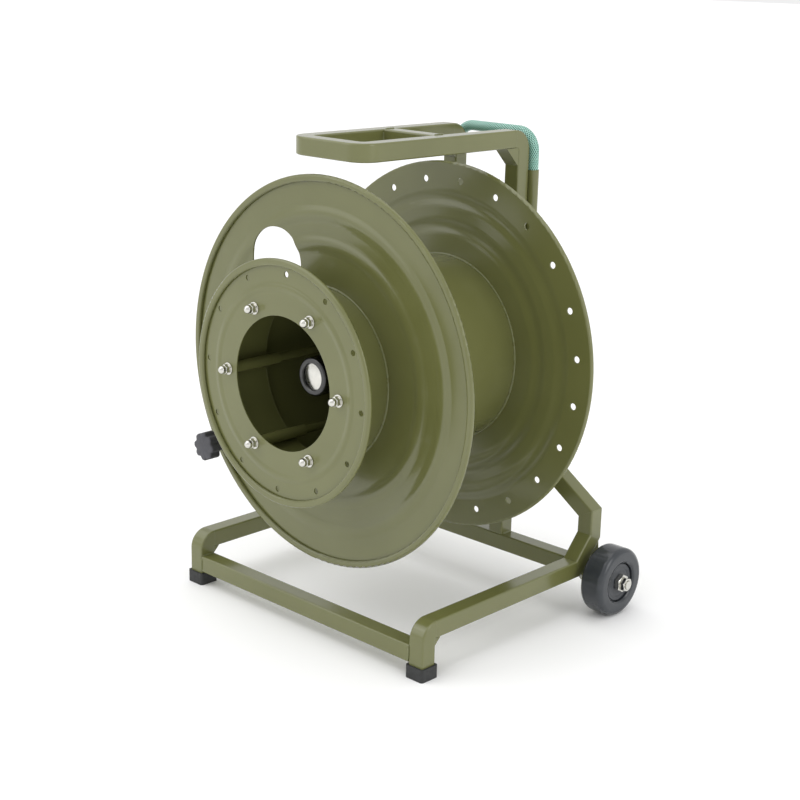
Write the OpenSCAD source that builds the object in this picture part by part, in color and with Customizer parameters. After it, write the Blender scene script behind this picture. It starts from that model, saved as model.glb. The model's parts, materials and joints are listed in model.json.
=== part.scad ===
// Portable cable reel: a steel drum with a second, smaller drum in front of it, which
// turns on a fixed axle held out from a wheeled stand of square tube.
// X runs across the stand, Y back along the drum's axle, Z up; the floor is Z = 0.

/* [Drum] */
// Diameter of the rear and middle flanges
flange_d = 540; // [470:5:600]
// Diameter of the small front flange
front_flange_d = 335; // [310:1:360]
// Outer diameter of the main barrel
barrel_d = 272; // [250:1:300]
// Outer diameter of the small front barrel
front_barrel_d = 242; // [236:1:248]
// Distance between the middle and rear flanges
winding_w = 238; // [180:1:245]
// Distance between the front and middle flanges
front_winding_w = 75; // [50:1:90]
// Thickness of the flange and barrel sheet
sheet_t = 2; // [1.5:0.1:3]
// Height of the drum's axis above the floor
axis_z = 359; // [340:1:400]

/* [Flange details] */
// Width of the rolled rim, measured along the radius
rim_w = 10; // [8:0.5:12]
// Depth of the rolled rim, measured along the axle
rim_depth = 7; // [6:0.5:9]
// Half the width of a pressed ring, which stands forward by a seventh of it
ring_half_w = 14; // [10.5:3.5:17.5]
// Number of holes round the rear flange
rear_hole_n = 23; // [12:1:30]
// Diameter of the holes round the rear flange
rear_hole_d = 9.5; // [5:0.5:12]
// Distance of the rear flange's holes from its edge
rear_hole_inset = 25; // [20:1:30]
// Number of holes round the front flange
front_hole_n = 12; // [6:1:18]
// Diameter of the holes round the front flange
front_hole_d = 8; // [4:0.5:9]
// Distance of the front flange's holes from its edge
front_hole_inset = 19; // [15:0.5:22]
// Diameter of the opening in the front flange
opening_d = 183; // [150:1:190]
// Diameter of the cable hole in the middle flange
cable_hole_d = 98; // [50:1:100]

/* [Rods and hub] */
// Diameter of the tie rods
rod_d = 12; // [9:0.5:14]
// Diameter of the stand-off at the front of each tie rod
standoff_d = 17; // [15:0.5:18]
// Diameter of the circle of tie rods
rod_circle_d = 216; // [212:1:218]
// Diameter of the axle
axle_d = 38; // [30:1:42]
// Outer diameter of the hub tube
hub_d = 54; // [50:1:70]

/* [Stand] */
// Side of the square tube
tube = 25; // [20:1:30]
// Radius of the tube's long edges
edge_r = 2.5; // [1:0.5:4]
// Width of the stand over its side rails
base_w = 472; // [440:1:520]
// Length of the side rails, from the front legs to the rear cross tube's back
base_l = 353; // [340:1:420]
// Height of the side rails' top
rail_z = 79; // [74:1:95]
// Height of the front cross tube's top
cross_z = 45; // [44:1:50]
// Height of the rubber feet
foot_h = 18; // [12:1:19]
// Wall of the rubber feet
foot_t = 3; // [2:0.5:4]
// Slope of the shoulders above the wheels, in degrees
shoulder_a = 34; // [28:1:40]
// Width of the two lower posts, outside to outside
posts_w = 181; // [150:1:188]

/* [Handle] */
// Width of the carrying handle
handle_w = 143; // [130:1:160]
// Height of the handle's top
handle_z = 675; // [660:1:740]
// Reach of the handle forward of the uprights' back
handle_l = 338; // [280:1:350]
// Distance of the bar across the handle from the uprights' back
cross_bar_back = 154; // [100:1:180]
// Outer diameter of the hose on the pull handle
hose_d = 15; // [13:0.5:20]
// Diameter of the pull handle's bar
pull_bar_d = 10; // [8:0.5:11]
// Length of the guide tubes
guide_l = 200; // [180:5:220]

/* [Wheels and knob] */
// Diameter of the wheels
wheel_d = 100; // [90:1:106]
// Width of the wheels
wheel_w = 38; // [28:1:42]
// Diameter of the wheel bolts
wheel_bolt_d = 12; // [8:0.5:14]
// Diameter of the winding knob
knob_d = 42; // [34:1:46]
// Number of lobes on the winding knob
knob_lobes = 8; // [5:1:10]

/* [Hidden] */
rod_n = 6;
SIDES = ["left", "right"];

OLIVE = [0.42, 0.43, 0.28];
BRIGHT = [0.8, 0.8, 0.78];
BLACK = [0.13, 0.13, 0.14];
MINT = [0.35, 0.7, 0.58];

run_fit = 0.05;  // radial clearance of what turns on a shaft
slide_fit = 0.3; // radial clearance of the bar in its guide tubes
gap = 0.5;       // clearance beside what turns

// ---- Places along the axle; each sheet is placed by its front face ----
nut_l = 17;                 // dome nut, from its seat to its tip
leg_lead = 45;              // front legs ahead of the middle flange
wheel_r = wheel_d / 2;
front_reach = front_winding_w + sheet_t + nut_l;            // middle flange to the nuts' tips
back_reach = base_l - leg_lead + tube / 2 + wheel_r;        // middle flange to the tyres' backs
mid_y = (front_reach - back_reach) / 2;                     // puts the whole's middle at Y = 0
front_y = mid_y - front_winding_w - sheet_t;
rear_y = mid_y + sheet_t + winding_w;
hub_front_y = mid_y - 23;
hub_back_y = rear_y + sheet_t + 10;
cap_face_y = hub_front_y + 1;
standoff_end_y = mid_y + 12;

flange_r = flange_d / 2;
front_flange_r = front_flange_d / 2;
barrel_r = barrel_d / 2;
front_barrel_r = front_barrel_d / 2;
rod_circle_r = rod_circle_d / 2;
rear_hole_circle_r = flange_r - rear_hole_inset;
front_hole_circle_r = front_flange_r - front_hole_inset;
cable_hole_circle_r = front_barrel_r + cable_hole_d / 2;

// Angles about the drum's axis count from +X towards +Z
rod_angle = 0;
rear_hole_angle = 84.5;
front_hole_angle = -3;
cable_hole_angle = 124.5;
knob_angle = -145;

// ---- Places on the stand ----
half_w = base_w / 2;
half_handle = handle_w / 2;
half_posts = posts_w / 2;
half_t = tube / 2;
leg_y = mid_y - leg_lead;                    // front of the front legs
back_y = leg_y + base_l;                     // front of the risers and uprights
rear_cross_y = back_y - tube;
rail_bottom = rail_z - tube;
leg_bend_in = 1;                             // inner radius of the bend from leg to rail
handle_bend_in = 5;                          // inner radius of the handle's bends
leg_web = 9.5;                               // leg of the web inside the leg's bend
handle_web = 25;                             // leg of the web inside the handle's rear bend
slope_run = 30;                              // the rail rises over this length behind
slope_rise = 33;
slope_a = atan2(slope_rise, slope_run);
riser_top_z = rail_z + 69;                   // outer corner between riser and shoulder
shoulder_rise = (half_w - half_handle) * tan(shoulder_a);
bend_a = (90 - shoulder_a) / 2;              // half the turn at either end of a shoulder

// Middle line of one side's tubes, corner by corner: x, y, z
LINE = [
    [half_w - half_t, leg_y + half_t, foot_t + 1],
    [half_w - half_t, leg_y + half_t, rail_z - half_t],
    [half_w - half_t, back_y - slope_run + half_t * tan(slope_a / 2), rail_z - half_t],
    [half_w - half_t, back_y + half_t, rail_z + slope_rise - half_t * tan((90 - slope_a) / 2)],
    [half_w - half_t, back_y + half_t, riser_top_z - half_t * tan(bend_a)],
    [half_handle - half_t, back_y + half_t, riser_top_z + shoulder_rise - half_t * tan(bend_a)],
    [half_handle - half_t, back_y + half_t, handle_z - half_t],
    [half_handle - half_t, back_y + tube - handle_l + half_t, handle_z - half_t]];

handle_front_y = back_y + tube - handle_l;
cross_bar_y = back_y + tube - cross_bar_back - tube;
wheel_y = back_y + half_t;
wheel_in_x = half_w + 11;
wheel_out_x = wheel_in_x + wheel_w;
plate_t = 6;
plate_h = 110;
post_top_z = axis_z + plate_h / 2;
guide_r = hose_d / 2 + 1.2;
guide_y = back_y + tube + guide_r;
guide_top_z = handle_z - 58;
guide_bottom_z = guide_top_z - guide_l;
pull_x = half_handle + 0.5;
pull_top_z = handle_z - 5;
pull_bend_r = 28;

// ---- Shared shapes ----

// Mirrors what follows to the left, or keeps it on the right
module side(s) {
    mirror([s == "left" ? 1 : 0, 0, 0]) children();
}

// Turns a shape built along +Z so that it runs back along the drum's axis
module along_axle(y) {
    translate([0, y, axis_z]) rotate([-90, 0, 0]) children();
}

// Stands a shape built along +Z on a circle about the drum's axis, running back
module on_circle(r, a, y) {
    translate([r * cos(a), y, axis_z + r * sin(a)]) rotate([-90, 0, 0]) children();
}

// Turns +Z towards the direction d
module toward(d) {
    rotate([0, acos(d[2] / norm(d)), atan2(d[1], d[0])]) children();
}

function unit(v) = v / norm(v);

// Rectangle about the origin, w by h, with corners of radius r
module rounded_rect(w, h, r) {
    square([w, h - 2 * r], center = true);
    square([w - 2 * r, h], center = true);
    for (x = [-1, 1]) for (y = [-1, 1])
        translate([x * (w / 2 - r), y * (h / 2 - r)]) circle(r = r, $fn = 32);
}

module tube_section() {
    rounded_rect(tube, tube, edge_r);
}

// Half space beyond p, on the side that n points to
module beyond(p, n) {
    big = 4 * tube;
    translate(p) toward(n) translate([-big, -big, 0]) cube(2 * big);
}

// Straight tube between corners a and b of LINE, mitred to the next tube at both ends.
// An end with a square_a or square_b of 0 or more is cut square, pulled back by that much.
module tube_run(a, b, square_a = -1, square_b = -1) {
    p = LINE[a];
    q = LINE[b];
    d = unit(q - p);
    start = square_a >= 0 ? square_a : -tube;
    stop = norm(q - p) - (square_b >= 0 ? square_b : -tube);
    difference() {
        translate(p + d * start) toward(d) linear_extrude(stop - start) tube_section();
        if (square_a < 0) beyond(p, -(d + unit(p - LINE[a - 1])));
        if (square_b < 0) beyond(q, d + unit(LINE[b + 1] - q));
    }
}

// Quarter bend about +Z in the first quadrant; inner is its inner radius
module tube_bend(inner) {
    rotate_extrude(angle = 90, $fn = 96) translate([inner + half_t, 0]) tube_section();
}

// Triangular web in the inner corner of a bend, its sides w long. It is sunk into the bend
// and its own straight tube, and only touches the tube that starts where the bend ends.
module bend_web(w, inner) {
    web_t = tube - 2;
    sunk = 0.5;
    translate([-web_t / 2, 0, 0]) rotate([90, 0, 90]) linear_extrude(web_t)
        polygon([[-sunk, -sunk], [inner, -sunk], [inner, 0], [w, 0], [0, w], [-sunk, w]]);
}

// Part of a ring about the origin, r inside and t thick, from angle a0 to a1
module arc_band(r, t, a0, a1) {
    reach = 2 * (r + t);
    mid = (a0 + a1) / 2;
    intersection() {
        difference() {
            circle(r = r + t, $fn = 96);
            circle(r = r, $fn = 96);
        }
        polygon([[0, 0], reach * [cos(a0), sin(a0)], reach * [cos(mid), sin(mid)], reach * [cos(a1), sin(a1)]]);
    }
}

// Section of a sheet pressed forward in a ring about radius c, half_w to either side:
// a crown arc and two foot arcs of one radius, tangent to each other and to the flat sheet
module ring_section(c, half_w) {
    h = half_w / 7;
    a = 2 * atan(h / half_w);
    r = half_w / (2 * sin(a));
    translate([c, r - h]) arc_band(r - sheet_t, sheet_t, 270 - a, 270 + a);
    translate([c + half_w, -r]) arc_band(r, sheet_t, 90, 90 + a);
    translate([c - half_w, -r]) arc_band(r, sheet_t, 90 - a, 90);
}

// Sheet disc with a rim rolled over its front and pressed rings; a slot is left open between
// the rim's inner edge and the sheet. Each ring is [middle, half width], innermost first.
module flange(r_out, r_in, rings) {
    rim_c = r_out - rim_w / 2;
    slot = 1.2;
    flats = concat([r_in], [for (g = rings) for (k = [-1, 1]) g[0] + k * g[1]], [rim_c + 1]);
    rotate_extrude($fn = 180) {
        for (i = [0 : 2 : len(flats) - 1])
            translate([flats[i], 0]) square([flats[i + 1] - flats[i], sheet_t]);
        for (g = rings) ring_section(g[0], g[1]);
        difference() {
            translate([rim_c, sheet_t - rim_depth / 2]) rounded_rect(rim_w, rim_depth, rim_depth * 0.45);
            translate([rim_c - rim_w, -slot]) square([rim_w, slot]);
        }
    }
}

module pipe(d, wall, l) {
    difference() {
        cylinder(d = d, h = l, $fn = 180);
        translate([0, 0, -1]) cylinder(d = d - 2 * wall, h = l + 2, $fn = 180);
    }
}

// ---- Drum ----

// Pressed rings of the two big flanges, from the barrel outwards
BIG_RINGS = [[flange_r - 92, ring_half_w], [flange_r - 52, ring_half_w]];

// The same pressing as the middle flange, turned to face back
module rear_flange() {
    color(OLIVE) difference() {
        along_axle(rear_y + sheet_t) mirror([0, 0, 1]) flange(flange_r, hub_d / 2, BIG_RINGS);
        for (i = [0 : rear_hole_n - 1])
            on_circle(rear_hole_circle_r, rear_hole_angle + i * 360 / rear_hole_n, rear_y - 5)
                cylinder(d = rear_hole_d, h = 10 + sheet_t, $fn = 48);
    }
}

module main_barrel() {
    color(OLIVE) along_axle(mid_y + sheet_t) pipe(barrel_d, sheet_t, winding_w);
}

module middle_flange() {
    reach = 10;
    color(OLIVE) difference() {
        along_axle(mid_y) flange(flange_r, front_barrel_r - sheet_t, BIG_RINGS);
        on_circle(cable_hole_circle_r, cable_hole_angle, mid_y - reach)
            cylinder(d = cable_hole_d, h = 2 * reach, $fn = 96);
        on_circle(rear_hole_circle_r, knob_angle, mid_y - reach)
            cylinder(d = stud_d, h = 2 * reach, $fn = 48);
    }
}

module front_barrel() {
    color(OLIVE) along_axle(front_y + sheet_t) pipe(front_barrel_d, sheet_t, front_winding_w);
}

module front_flange() {
    color(OLIVE) difference() {
        along_axle(front_y) flange(front_flange_r, opening_d / 2, [[front_flange_r - 38, ring_half_w / 2]]);
        for (i = [0 : front_hole_n - 1])
            on_circle(front_hole_circle_r, front_hole_angle + i * 360 / front_hole_n, front_y - 5)
                cylinder(d = front_hole_d, h = 10 + sheet_t, $fn = 48);
        for (i = [1 : rod_n])
            on_rod_circle(i, front_y - 5) cylinder(d = thread_d, h = 10 + sheet_t, $fn = 48);
    }
}

module hub_tube() {
    l = hub_back_y - hub_front_y;
    bore_r = axle_d / 2 + run_fit;
    hub_r = hub_d / 2;
    nose_r = 3.5;
    color(BLACK) along_axle(hub_front_y) rotate_extrude($fn = 96) {
        translate([bore_r, nose_r]) square([hub_r - bore_r, l - nose_r]);
        translate([bore_r, 0]) square([hub_r - nose_r - bore_r, l]);
        translate([hub_r - nose_r, nose_r]) circle(r = nose_r, $fn = 48);
    }
}

thread_d = 8;

module on_rod_circle(i, y) {
    on_circle(rod_circle_r, rod_angle + i * 360 / rod_n, y) children();
}

// Rod with a thicker stand-off and a threaded end that takes the dome nut
module tie_rod(i) {
    seat_y = front_y + sheet_t;
    color(OLIVE) {
        on_rod_circle(i, front_y - 8) cylinder(d = thread_d, h = sheet_t + 9, $fn = 48);
        on_rod_circle(i, seat_y) cylinder(d = standoff_d, h = standoff_end_y - seat_y, $fn = 48);
        on_rod_circle(i, standoff_end_y - 1)
            cylinder(d = rod_d, h = rear_y - standoff_end_y + 1, $fn = 48);
    }
}

// Washer, hexagon and dome in one, seated on the front flange
module dome_nut(i) {
    washer_t = 2;
    hex_h = 7;
    dome_r = 6;
    color(BRIGHT) on_rod_circle(i, front_y) difference() {
        union() {
            translate([0, 0, -washer_t]) cylinder(d = 17, h = washer_t, $fn = 48);
            translate([0, 0, -washer_t - hex_h]) cylinder(d = 14.4, h = hex_h, $fn = 6);
            translate([0, 0, dome_r - nut_l]) sphere(r = dome_r, $fn = 48);
        }
        translate([0, 0, -8]) cylinder(d = thread_d, h = 9, $fn = 48);
    }
}

// ---- Winding knob ----
stud_d = 8;
knob_face_y = mid_y - 49;
knob_neck_y = mid_y - 5;     // back of the knob's neck
knob_head_l = 19;
knob_bore_l = 5.5;           // solid plastic ahead of the stud

module knob_stud() {
    nut_h = 6.5;
    collar_y = knob_neck_y + gap;
    color(BRIGHT) {
        on_circle(rear_hole_circle_r, knob_angle, knob_face_y + knob_bore_l + gap)
            cylinder(d = stud_d, h = mid_y + sheet_t - knob_face_y - knob_bore_l - gap, $fn = 48);
        on_circle(rear_hole_circle_r, knob_angle, mid_y + sheet_t)
            cylinder(d = 15, h = nut_h, $fn = 6);
        on_circle(rear_hole_circle_r, knob_angle, collar_y)
            cylinder(d = 14, h = mid_y - collar_y, $fn = 48);
    }
}

module winding_knob() {
    neck_d = knob_d * 0.55;
    scallop_r = 4.5;
    chamfer = 1.5;
    color(BLACK) on_circle(rear_hole_circle_r, knob_angle, knob_face_y) difference() {
        union() {
            rotate_extrude($fn = 96) polygon([[0, 0], [knob_d / 2 - 2 * chamfer, 0],
                [knob_d / 2, chamfer], [knob_d / 2, knob_head_l], [0, knob_head_l]]);
            cylinder(d = neck_d, h = knob_neck_y - knob_face_y, $fn = 96);
        }
        for (i = [0 : knob_lobes - 1]) rotate((i + 0.5) * 360 / knob_lobes)
            translate([knob_d / 2 + 1.5, 0, -1]) cylinder(r = scallop_r, h = knob_head_l + 2, $fn = 48);
        translate([0, 0, knob_bore_l])
            cylinder(r = stud_d / 2 + run_fit, h = knob_neck_y - knob_face_y, $fn = 48);
    }
}

// ---- Axle and its support ----
cap_t = 5;

module axle() {
    color(BLACK) along_axle(cap_face_y + cap_t)
        cylinder(d = axle_d, h = back_y + 6 - cap_face_y - cap_t, $fn = 96);
}

// Slightly domed cover on the axle's front end
module axle_cap() {
    dome_h = 2;
    r = axle_d / 2 - 0.5;
    dome_r = (r * r + dome_h * dome_h) / (2 * dome_h);
    color(BRIGHT) along_axle(cap_face_y) intersection() {
        translate([0, 0, dome_r]) sphere(r = dome_r, $fn = 180);
        cylinder(r = r, h = cap_t, $fn = 96);
    }
}

// Plate welded to the fronts of the posts, with a boss that holds the axle behind it
module axle_plate() {
    corner = 12;
    color(OLIVE) difference() {
        union() {
            translate([0, rear_cross_y, axis_z]) rotate([90, 0, 0]) linear_extrude(plate_t)
                polygon([for (c = [[1, 0], [1, 1], [-1, 1], [-1, 0], [-1, 0], [-1, -1], [1, -1], [1, 0]])
                    if (c[1] != 0) for (k = (c[0] * c[1] > 0 ? [0, 1] : [1, 0]))
                        [c[0] * (half_posts - corner * k), c[1] * (plate_h / 2 - corner * (1 - k))]]);
            along_axle(rear_cross_y - 1) cylinder(d = axle_d + 22, h = tube + 1, $fn = 96);
        }
        along_axle(rear_cross_y - plate_t - 1) cylinder(d = axle_d, h = tube + plate_t + 2, $fn = 96);
    }
}

module post(s) {
    color(OLIVE) side(s) translate([half_posts - half_t, rear_cross_y + half_t, rail_z])
        linear_extrude(post_top_z - rail_z) tube_section();
}

// ---- Stand ----
module foot(s) {
    color(BLACK) side(s) translate([LINE[0][0], LINE[0][1], 0]) difference() {
        linear_extrude(foot_h) rounded_rect(tube + 2 * foot_t, tube + 2 * foot_t, edge_r + foot_t / 2);
        translate([0, 0, foot_t + 1]) linear_extrude(foot_h) tube_section();
    }
}

module front_leg(s) {
    inner = LINE[1] + [0, half_t, -half_t];
    color(OLIVE) side(s) {
        tube_run(0, 1, 0, half_t + leg_bend_in);
        translate(inner + [0, leg_bend_in, -leg_bend_in]) rotate([90, 0, -90])
            tube_bend(leg_bend_in);
        translate(inner) mirror([0, 0, 1]) bend_web(leg_web, leg_bend_in);
    }
}

module side_rail(s) {
    color(OLIVE) side(s) tube_run(1, 2, half_t + leg_bend_in);
}

module rail_slope(s) {
    color(OLIVE) side(s) tube_run(2, 3);
}

module riser(s) {
    color(OLIVE) side(s) tube_run(3, 4);
}

module shoulder(s) {
    color(OLIVE) side(s) tube_run(4, 5);
}

module upright(s) {
    inner = LINE[6] + [0, -half_t, -half_t];
    color(OLIVE) side(s) {
        tube_run(5, 6, -1, half_t + handle_bend_in);
        translate(inner + [0, -handle_bend_in, -handle_bend_in]) rotate([90, 0, 90])
            tube_bend(handle_bend_in);
        translate(inner) mirror([0, 0, 1]) mirror([0, 1, 0]) bend_web(handle_web, handle_bend_in);
    }
}

// Both sides of the handle and its front bar, bent from one tube
module handle_loop() {
    inner = LINE[7] + [-half_t, half_t, 0];
    for (s = SIDES) color(OLIVE) side(s) {
        tube_run(6, 7, half_t + handle_bend_in, half_t + handle_bend_in);
        translate(inner + [-handle_bend_in, handle_bend_in, 0]) mirror([0, 1, 0])
            tube_bend(handle_bend_in);
    }
    cross_tube(handle_w - 2 * (tube + handle_bend_in), handle_front_y + half_t, handle_z - half_t);
}

// Tube across the stand, at the given height and depth of its middle line
module cross_tube(l, y, z) {
    color(OLIVE) translate([-l / 2, y, z]) rotate([0, 90, 0]) linear_extrude(l) tube_section();
}

module handle_cross_tube() {
    cross_tube(handle_w - 2 * tube, cross_bar_y + half_t, handle_z - half_t);
}

module front_cross_tube() {
    cross_tube(base_w - 2 * tube, leg_y + half_t, cross_z - half_t);
}

module rear_cross_tube() {
    cross_tube(base_w - 2 * tube, rear_cross_y + half_t, rail_z - half_t);
}

// ---- Pull handle ----
module guide_tube(s) {
    floor_t = 2;
    color(OLIVE) side(s) translate([pull_x, guide_y, guide_bottom_z]) difference() {
        cylinder(r = guide_r, h = guide_l, $fn = 64);
        translate([0, 0, floor_t]) cylinder(r = pull_bar_d / 2 + slide_fit, h = guide_l, $fn = 64);
    }
}

// Round bar or hose of diameter d, bent to an upside-down U with legs down to bottom
module pull_arch(d, bottom) {
    leg_top = pull_top_z - pull_bend_r;
    for (s = SIDES) side(s) {
        translate([pull_x, guide_y, bottom]) cylinder(d = d, h = leg_top - bottom, $fn = 48);
        translate([pull_x - pull_bend_r, guide_y, leg_top]) rotate([90, 0, 0])
            rotate_extrude(angle = 90, $fn = 96) translate([pull_bend_r, 0]) circle(d = d, $fn = 48);
    }
    translate([pull_bend_r - pull_x, guide_y, pull_top_z]) rotate([0, 90, 0])
        cylinder(d = d, h = 2 * (pull_x - pull_bend_r), $fn = 48);
}

module pull_bar() {
    color(BRIGHT) pull_arch(pull_bar_d, guide_bottom_z + 6);
}

module hose_grip() {
    color(MINT) difference() {
        pull_arch(hose_d, guide_top_z);
        pull_arch(pull_bar_d, guide_top_z - 5);
    }
}

// ---- Wheels ----

// Stands a shape built along +Z on the wheels' axis, running outwards from x
module on_wheel_axis(s, x) {
    side(s) translate([x, wheel_y, wheel_r]) rotate([0, 90, 0]) children();
}

// Plate welded under the riser that carries the wheel bolt
module axle_lug(s) {
    lug_t = 12;
    eye_r = 15;
    color(OLIVE) difference() {
        side(s) translate([half_w - edge_r - lug_t, 0, 0]) rotate([90, 0, 90]) linear_extrude(lug_t) {
            polygon([[rear_cross_y + 14, rail_bottom - 1], [wheel_y - 12, wheel_r - 9],
                [wheel_y + eye_r, wheel_r], [back_y + tube - edge_r, rail_z + 24], [back_y, rail_z + 20]]);
            translate([wheel_y, wheel_r]) circle(r = eye_r, $fn = 64);
        }
        side(s) under_riser();
        on_wheel_axis(s, 0) cylinder(d = wheel_bolt_d, h = base_w, $fn = 48);
    }
}

// Space that the rail and riser take, cut from what is welded under them
module under_riser() {
    low = LINE[2] + half_t * [0, tan(slope_a / 2), -1];
    high = LINE[3] + half_t * [0, 1, -tan((90 - slope_a) / 2)];
    translate([half_w - 2 * tube, 0, 0]) rotate([90, 0, 90]) linear_extrude(3 * tube)
        polygon([[back_y - 4 * tube, low[2]], [low[1], low[2]], [high[1], high[2]],
            [high[1], riser_top_z], [back_y - 4 * tube, riser_top_z]]);
}

wheel_bolt_head_h = 8;
hub_face_in = 4;              // wheel's disc, in from the tyre's face
wheel_nut_h = 8;
lock_nut_h = 7;
wheel_nut_x = wheel_out_x - hub_face_in + gap;

module wheel_bolt(s) {
    lug_in_x = half_w - edge_r - 12;
    tip_x = wheel_nut_x + wheel_nut_h + lock_nut_h + 1.5;
    color(BRIGHT) {
        on_wheel_axis(s, lug_in_x - wheel_bolt_head_h) cylinder(d = 21, h = wheel_bolt_head_h, $fn = 6);
        on_wheel_axis(s, lug_in_x - 1) cylinder(d = wheel_bolt_d, h = tip_x - lug_in_x + 1, $fn = 48);
    }
}

module hex_nut(across, h) {
    difference() {
        cylinder(d = across, h = h, $fn = 6);
        translate([0, 0, -1]) cylinder(d = wheel_bolt_d, h = h + 2, $fn = 48);
    }
}

module wheel_nut(s) {
    color(BRIGHT) on_wheel_axis(s, wheel_nut_x) hex_nut(27, wheel_nut_h);
}

module lock_nut(s) {
    color(BRIGHT) on_wheel_axis(s, wheel_nut_x + wheel_nut_h) rotate(12) hex_nut(21, lock_nut_h);
}

hub_r = wheel_r - 21;

// Disc wheel with a boss towards the stand
module wheel_hub(s) {
    boss_l = 6;
    color(BLACK) on_wheel_axis(s, wheel_in_x) difference() {
        union() {
            translate([0, 0, hub_face_in]) cylinder(r = hub_r, h = wheel_w - 2 * hub_face_in, $fn = 96);
            translate([0, 0, -boss_l]) cylinder(r = 12, h = wheel_w / 2 + boss_l, $fn = 96);
        }
        translate([0, 0, -boss_l - 1])
            cylinder(r = wheel_bolt_d / 2 + run_fit, h = wheel_w + boss_l + 2, $fn = 48);
    }
}

// Solid tyre with rounded shoulders
module tyre(s) {
    r = 8;
    lip = 2;
    inner = wheel_r - 2 * r;
    color(BLACK) on_wheel_axis(s, wheel_in_x) rotate_extrude($fn = 128) {
        translate([inner - r, 0]) difference() {
            translate([(wheel_r - inner + r) / 2, wheel_w / 2])
                rounded_rect(wheel_r - inner + r, wheel_w, r);
            translate([-1, -1]) square([hub_r - inner + r + lip + 1, wheel_w + 2]);
        }
        polygon([[hub_r, lip], [hub_r + lip, 0], [hub_r + lip, wheel_w], [hub_r, wheel_w - lip]]);
    }
}

rear_flange();
main_barrel();
middle_flange();
front_barrel();
front_flange();
hub_tube();
knob_stud();
winding_knob();
axle();
axle_cap();
axle_plate();
front_cross_tube();
rear_cross_tube();
handle_loop();
handle_cross_tube();
pull_bar();
hose_grip();
for (i = [1 : rod_n]) tie_rod(i);
for (i = [1 : rod_n]) dome_nut(i);
for (s = SIDES) foot(s);
for (s = SIDES) front_leg(s);
for (s = SIDES) side_rail(s);
for (s = SIDES) rail_slope(s);
for (s = SIDES) riser(s);
for (s = SIDES) shoulder(s);
for (s = SIDES) post(s);
for (s = SIDES) upright(s);
for (s = SIDES) guide_tube(s);
for (s = SIDES) axle_lug(s);
for (s = SIDES) wheel_bolt(s);
for (s = SIDES) wheel_nut(s);
for (s = SIDES) lock_nut(s);
for (s = SIDES) wheel_hub(s);
for (s = SIDES) tyre(s);
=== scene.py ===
import json
import math

import bpy
import numpy as np
from bpy.props import (
    FloatProperty,
    FloatVectorProperty,
    IntProperty,
    PointerProperty,
)
from mathutils import Matrix, Vector

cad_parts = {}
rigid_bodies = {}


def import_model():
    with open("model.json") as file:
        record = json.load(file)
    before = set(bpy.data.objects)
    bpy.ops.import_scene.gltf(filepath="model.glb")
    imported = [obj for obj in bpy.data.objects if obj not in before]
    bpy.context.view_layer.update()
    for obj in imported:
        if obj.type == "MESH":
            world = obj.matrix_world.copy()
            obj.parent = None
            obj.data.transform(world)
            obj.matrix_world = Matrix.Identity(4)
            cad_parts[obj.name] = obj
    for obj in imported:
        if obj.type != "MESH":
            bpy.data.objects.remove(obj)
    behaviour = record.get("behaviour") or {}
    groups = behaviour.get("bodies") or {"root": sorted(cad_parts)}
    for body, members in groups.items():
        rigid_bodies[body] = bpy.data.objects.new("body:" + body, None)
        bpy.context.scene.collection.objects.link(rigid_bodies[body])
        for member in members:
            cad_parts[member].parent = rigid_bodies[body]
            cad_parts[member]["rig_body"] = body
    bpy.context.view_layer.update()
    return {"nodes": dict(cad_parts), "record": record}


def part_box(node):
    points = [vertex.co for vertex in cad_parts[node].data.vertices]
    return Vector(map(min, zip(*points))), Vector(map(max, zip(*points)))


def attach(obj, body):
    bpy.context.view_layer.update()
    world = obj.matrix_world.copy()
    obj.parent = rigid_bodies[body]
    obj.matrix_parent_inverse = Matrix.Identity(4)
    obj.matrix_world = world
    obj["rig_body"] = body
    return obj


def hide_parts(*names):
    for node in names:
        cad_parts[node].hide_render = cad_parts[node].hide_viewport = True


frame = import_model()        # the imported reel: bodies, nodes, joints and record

bl_info = {
    "name": "Cable Reel Finish",
    "version": (1, 0, 0),
    "blender": (4, 5, 0),
    "location": "View3D > Sidebar > Cable Reel",
    "description": "Finishes a steel cable reel on a wheeled stand: paint, fittings, hose, welds and stage",
    "category": "Object",
}

MM = 0.001
SIDES = ("left", "right")
ROD_COUNT = sum(1 for name in frame["nodes"] if name.startswith("dome_nut_"))


# ---------------------------------------------------------------- colours and node trees

def srgb(code):
    """'#rrggbb' as linear red, green, blue and an alpha of 1."""
    parts = [int(code[i:i + 2], 16) / 255 for i in (1, 3, 5)]
    return [c / 12.92 if c <= 0.04045 else ((c + 0.055) / 1.055) ** 2.4 for c in parts] + [1.0]


def add_node(tree, kind, settings=None, inputs=None):
    """Adds a node. A setting is an attribute; an input is a plain value or another node's socket."""
    made = tree.nodes.new(kind)
    for key, value in (settings or {}).items():
        setattr(made, key, value)
    for key, value in (inputs or {}).items():
        if isinstance(value, bpy.types.NodeSocket):
            tree.links.new(value, made.inputs[key])
        else:
            made.inputs[key].default_value = value
    return made


def noise(tree, coords, size, detail=3.0, roughness=0.5):
    """Noise whose lumps are about size metres across, as a factor around 0.5."""
    return add_node(tree, "ShaderNodeTexNoise", inputs={
        "Vector": coords, "Scale": 1.0 / size, "Detail": detail, "Roughness": roughness,
    }).outputs["Fac"]


def spread(tree, factor, low, high, start=0.3, end=0.7):
    """Turns a factor between start and end into a value between low and high."""
    return add_node(tree, "ShaderNodeMapRange", inputs={
        "Value": factor, "From Min": start, "From Max": end, "To Min": low, "To Max": high,
    }).outputs["Result"]


def blend_colours(tree, factor, first, second):
    return add_node(tree, "ShaderNodeMix", {"data_type": "RGBA"}, {
        0: factor, 6: first, 7: second,
    }).outputs[2]


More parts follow.
